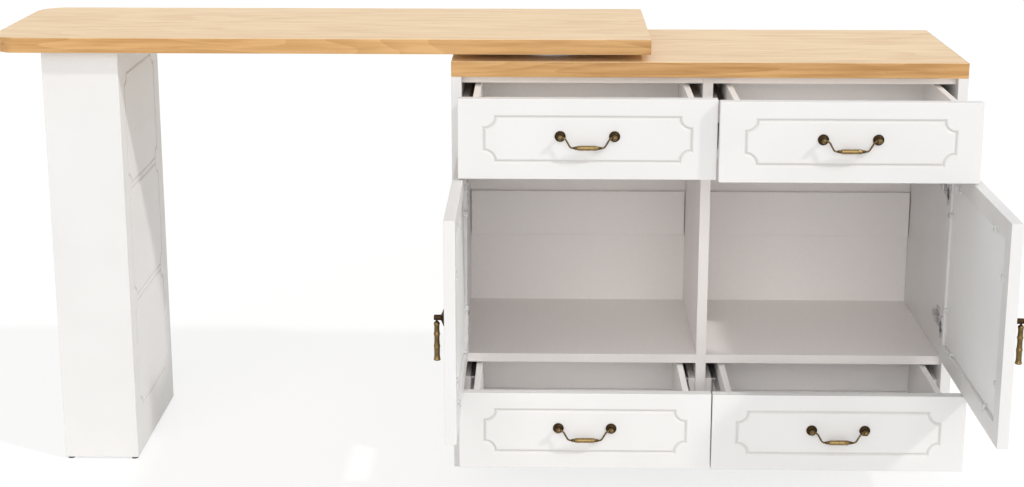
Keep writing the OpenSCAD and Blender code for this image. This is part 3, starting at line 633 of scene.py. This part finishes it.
# Turned profiles of (radius, height)
POST_BASE = [(0.0, 0.0), (9.8, 0.0), (10.2, 0.4), (10.3, 1.0), (10.0, 1.6), (9.3, 1.9),
             (8.6, 1.75), (8.2, 1.45), (7.7, 1.5), (7.3, 1.9), (6.9, 2.5), (6.2, 2.85),
             (5.6, 2.75), (5.2, 3.1), (4.6, 3.9), (4.0, 5.0), (3.6, 6.4), (3.5, 7.6), (3.6, 8.6)]
POST_HEAD = [(3.6, 8.6), (4.2, 9.3), (4.3, 9.8), (4.0, 10.2), (4.15, 10.8), (4.6, 11.8),
             (4.9, 12.8), (5.0, 14.0), (4.9, 15.2), (4.5, 16.3), (3.8, 17.3), (2.7, 18.2),
             (1.4, 18.75), (0.0, 18.9)]
HALF_GRIP = [(0.0, -26.5), (1.75, -26.5), (2.1, -26.1), (2.3, -25.4), (2.1, -24.7), (2.0, -24.2),
             (2.3, -23.8), (2.9, -23.3), (3.3, -22.6), (3.35, -22.1), (3.0, -21.5), (2.75, -20.9),
             (2.85, -20.2), (3.3, -19.4), (3.9, -18.4), (4.35, -17.2), (4.5, -16.0), (4.3, -15.6),
             (4.3, -15.2), (4.55, -14.8), (4.6, -9.0), (4.6, 0.0)]
GRIP = HALF_GRIP + [(radius, -height) for radius, height in reversed(HALF_GRIP[:-1])]
COLLAR = [(1.6, -0.9), (2.3, -0.6), (2.5, 0.0), (2.3, 0.6), (1.6, 0.9)]
DROP = [(0.0, 0.0), (4.6, 0.0), (5.7, 0.5), (6.2, 1.5), (6.05, 2.7), (5.5, 4.6), (5.1, 7.6),
        (4.95, 11.6), (5.0, 15.6), (5.1, 20.4), (5.3, 23.2), (5.6, 24.6), (5.8, 26.0),
        (5.65, 27.2), (5.2, 28.4), (5.0, 30.0), (4.7, 34.0), (4.55, 39.6), (4.7, 43.6),
        (5.1, 45.8), (5.6, 47.2), (5.8, 48.2), (5.6, 49.2), (5.15, 50.4), (4.85, 52.0),
        (4.6, 56.0), (4.55, 60.6), (4.8, 63.8), (5.2, 66.0), (5.45, 67.2), (5.2, 68.3),
        (4.2, 69.6), (2.9, 70.8), (1.95, 71.5)]
NECK = [(1.9, 0.0), (1.9, 4.4)]
TONGUE = [(1.56, -2.0), (4.2, -2.0), (4.5, -1.7), (4.5, 1.7), (4.2, 2.0), (1.56, 2.0)]

POST_REACH = 50.0       # from a handle's middle to each post
COLLAR_REACH = 44.0     # and to each collar on the bail
ROD_STAND_OFF = 14.0    # from the drawer front to the bail's rod
GRIP_BELOW = 19.0       # from the posts down to the grip
BAIL_RADIUS = 1.7
BAIL_BEND = 5.0
BAIL_CORNERS = [(-54.9, 0, 0), (-41.6, 0, 0), (-31, 0, -GRIP_BELOW),
                (31, 0, -GRIP_BELOW), (41.6, 0, 0), (54.9, 0, 0)]
FRONT_THICK = 20.0
TONGUE_BELOW = 4.5      # from the top of a hanging drop to the middle of its pierced tongue
NECK_BELOW = 11.0       # and to the foot of the neck between tongue and stem


def handle(name):
    """The two posts and the swinging bail of a drawer handle, and its screws inside."""
    posts, bail = "handle_posts_" + name, "handle_bail_" + name
    low, high = box_of(posts)
    middle, face_y, axis_z = (low.x + high.x) / 2, high.y, (low.z + high.z) / 2
    rod_y = face_y - ROD_STAND_OFF * MM

    shape = bmesh.new()
    for side in (-1, 1):
        post = axes((middle + side * POST_REACH * MM, face_y, axis_z), RIGHT, UP, FRONT)
        lathe(shape, POST_BASE, 40, post, rub=0.12)
        lathe(shape, POST_HEAD, 32, post, rub=0.6)
    stand_in(posts, shape, 50.0)

    shape = bmesh.new()
    sweep(shape, rounded_path(BAIL_CORNERS, BAIL_BEND), BAIL_RADIUS, 16,
          axes((middle, rod_y, axis_z), RIGHT, BACK, UP), rub=0.55)
    lathe(shape, GRIP, 32, axes((middle, rod_y, axis_z - GRIP_BELOW * MM), DOWN, BACK, RIGHT))
    for side in (-1, 1):
        collar = axes((middle + side * COLLAR_REACH * MM, rod_y, axis_z), DOWN, BACK, RIGHT)
        lathe(shape, COLLAR, 20, collar, rub=0.8, closed=True)
    stand_in(bail, shape, 50.0)

    inside = [(middle + side * POST_REACH * MM, face_y + FRONT_THICK * MM, axis_z)
              for side in (-1, 1)]
    screws("handle_screws_" + name, body_of[posts], inside, BACK, 3.6)


def pull_drop(node, sign):
    """The hanging drop of a door pull: a pierced tongue, a neck and a ringed stem."""
    low, high = box_of(node)
    x, y = (low.x + high.x) / 2, (low.y + high.y) / 2
    shape = bmesh.new()
    lathe(shape, DROP, 32, axes((x, y, low.z), RIGHT, BACK, UP))
    lathe(shape, NECK, 24, axes((x, y, high.z - NECK_BELOW * MM), RIGHT, BACK, UP), rub=0.3)
    tongue = axes((x, y, high.z - TONGUE_BELOW * MM), DOWN, (sign, 0, 0), (0, -sign, 0))
    lathe(shape, TONGUE, 36, tongue, rub=0.6, closed=True)
    stand_in(node, shape, 50.0)


# ---- The screws of a door, which stands open by a right angle ----

DOOR_MIDDLE_Y, DOOR_MIDDLE_Z = -443.5, 451.5
CLIP_SCREWS = [(u, v) for across, up in ((132.5, 169.8), (205.8, 96.5))
               for u in (-across, across) for v in (-up, up)]
CLIP_FACE_X = 0.467
HINGE_HEIGHTS = (315, 588)
CUP_SCREW_X, CUP_SCREW_Y, CUP_SCREW_UP = 0.4675, -0.223, 18.2
ARM_SCREW_X, ARM_SCREW_Y, ARM_SCREW_UP = 0.478, -0.150, 14


def door_screws(side, sign):
    """The screws of the glass clips, the hinge cups and the hinge arms."""
    inward = (-sign, 0, 0)
    screws("clip_screws_" + side, "door_" + side,
           [(sign * CLIP_FACE_X, (DOOR_MIDDLE_Y - u) * MM, (DOOR_MIDDLE_Z + v) * MM)
            for u, v in CLIP_SCREWS], inward, 1.7)
    screws("hinge_cup_screws_" + side, "door_" + side,
           [(sign * CUP_SCREW_X, CUP_SCREW_Y, (z + up) * MM)
            for z in HINGE_HEIGHTS for up in (-CUP_SCREW_UP, CUP_SCREW_UP)], inward, 2.2)
    screws("hinge_arm_screws_" + side, "carcass",
           [(sign * ARM_SCREW_X, ARM_SCREW_Y, (z + up) * MM)
            for z in HINGE_HEIGHTS for up in (-ARM_SCREW_UP, ARM_SCREW_UP)], inward, 2.4)


# ---- The island ----

for board in ("side_panel_left", "side_panel_right"):
    dressed(board, 0.9)
for board in ("partition", "top_rails", "compartment_tops", "compartment_floors", "base_boards",
              "toe_boards", "back_rails"):
    dressed(board, 0.6, looks=[white_board_with_painted_light])
for board in ("back_panel", "runner_battens"):
    dressed(board, 0.5, 2, looks=[white_board_with_painted_light])
dressed("leg_cleats", 0.5, 2)
for board in ("leg_front", "leg_back"):
    dressed(board, 1.0)
# Faces that look up or down take the oak with painted sheen, the edges the browner band
for top in ("worktop", "table_top"):
    for polygon in dressed(top, 1.6).data.polygons:
        polygon.material_index = OAK_FACE_PAINTED_SHEEN if abs(polygon.normal.z) > 0.7 else OAK_BAND

leg_side("leg_side_outer", -1)
leg_side("leg_side_inner", 1)

for side, sign in (("left", -1), ("right", 1)):
    for row in ("upper", "lower"):
        name = row + "_" + side
        drawer_front("drawer_front_" + name)
        dressed("drawer_box_" + name, 0.7)
        dressed("drawer_runners_" + name, 0.25, 2)
        dressed("middle_runners_" + name, 0.25, 2)
        handle(name)
    dressed("door_frame_" + side, 1.1)
    dressed("door_glass_" + side, 0.4, 2)
    dressed("glass_clips_" + side, 0.4, 2)
    dressed("hinge_cups_" + side, 0.3, 2)
    dressed("pull_post_" + side, 0.35)
    pull_drop("pull_drop_" + side, sign)
    door_screws(side, sign)

for node in ("cabinet_runners", "hinge_arms"):
    dressed(node, 0.3, 2)

# These CAD nodes keep their own shapes
for node in ("swivel_base", "swivel_top_plate", "swivel_bolt", "leg_glides"):
    mesh = frame["nodes"][node].data
    mesh.materials.clear()
    mesh.materials.append(LOOKS[slot_of[node]][0])


# ---- Floor, light and camera ----

FLOOR_REACH = 40.0
FLOOR_Z = -0.0004       # a hair under the object's feet
STUDIO_LIGHT = (0.54, 0.54, 0.545)
WHITE = (1.0, 1.0, 1.0)
LAMP_COLOUR = (1.0, 0.985, 0.97)
# Name, strength, spread in degrees, and where the light goes
LAMPS = (("key", 1.15, 3.0, (-1.9, 1.0, -1.9)),
         ("front_fill", 1.08, 55.0, (0.05, 1.0, -0.24)),
         ("front_high", 0.32, 50.0, (0.15, 1.0, -1.0)))
CAMERA_PLACE = (-0.3156, -3.529, 1.4418)
CAMERA_DOWN, CAMERA_LEFT = 13.4969, 1.1396      # how far it looks down and to the left
CAMERA_SENSOR, CAMERA_LENS = 36.0, 61.4
CAMERA_SHIFT = -0.08

shape = bmesh.new()
shape.faces.new([shape.verts.new((sx * FLOOR_REACH, sy * FLOOR_REACH, FLOOR_Z))
                 for sx, sy in QUADRANTS])
floor_mesh = bpy.data.meshes.new("floor")
shape.to_mesh(floor_mesh)
shape.free()
floor_mesh.materials.append(floor_paint())
floor = bpy.data.objects.new("floor", floor_mesh)
bpy.context.scene.collection.objects.link(floor)

world = bpy.data.worlds.new("studio")
bpy.context.scene.world = world
world.use_nodes = True
sky = Nodes(world.node_tree)
background = world.node_tree.nodes["Background"]
sky.feed(background.inputs["Color"], sky.mixed(sky.shown(), STUDIO_LIGHT, WHITE))
sky.feed(background.inputs["Strength"], 1.0)

for name, strength, spread, towards in LAMPS:
    lamp = bpy.data.lights.new(name, "SUN")
    lamp.energy = strength
    lamp.angle = math.radians(spread)
    lamp.color = LAMP_COLOUR
    light = bpy.data.objects.new(name, lamp)
    bpy.context.scene.collection.objects.link(light)
    light.rotation_euler = Vector(towards).to_track_quat("-Z", "Y").to_euler()

lens = bpy.data.cameras.new("camera")
lens.sensor_width = CAMERA_SENSOR
lens.lens = CAMERA_LENS
lens.shift_y = CAMERA_SHIFT
camera = bpy.data.objects.new("camera", lens)
bpy.context.scene.collection.objects.link(camera)
camera.location = CAMERA_PLACE
camera.rotation_euler = (math.radians(90 - CAMERA_DOWN), 0.0, math.radians(CAMERA_LEFT))
bpy.context.scene.camera = camera

bpy.context.scene.view_settings.view_transform = "Standard"
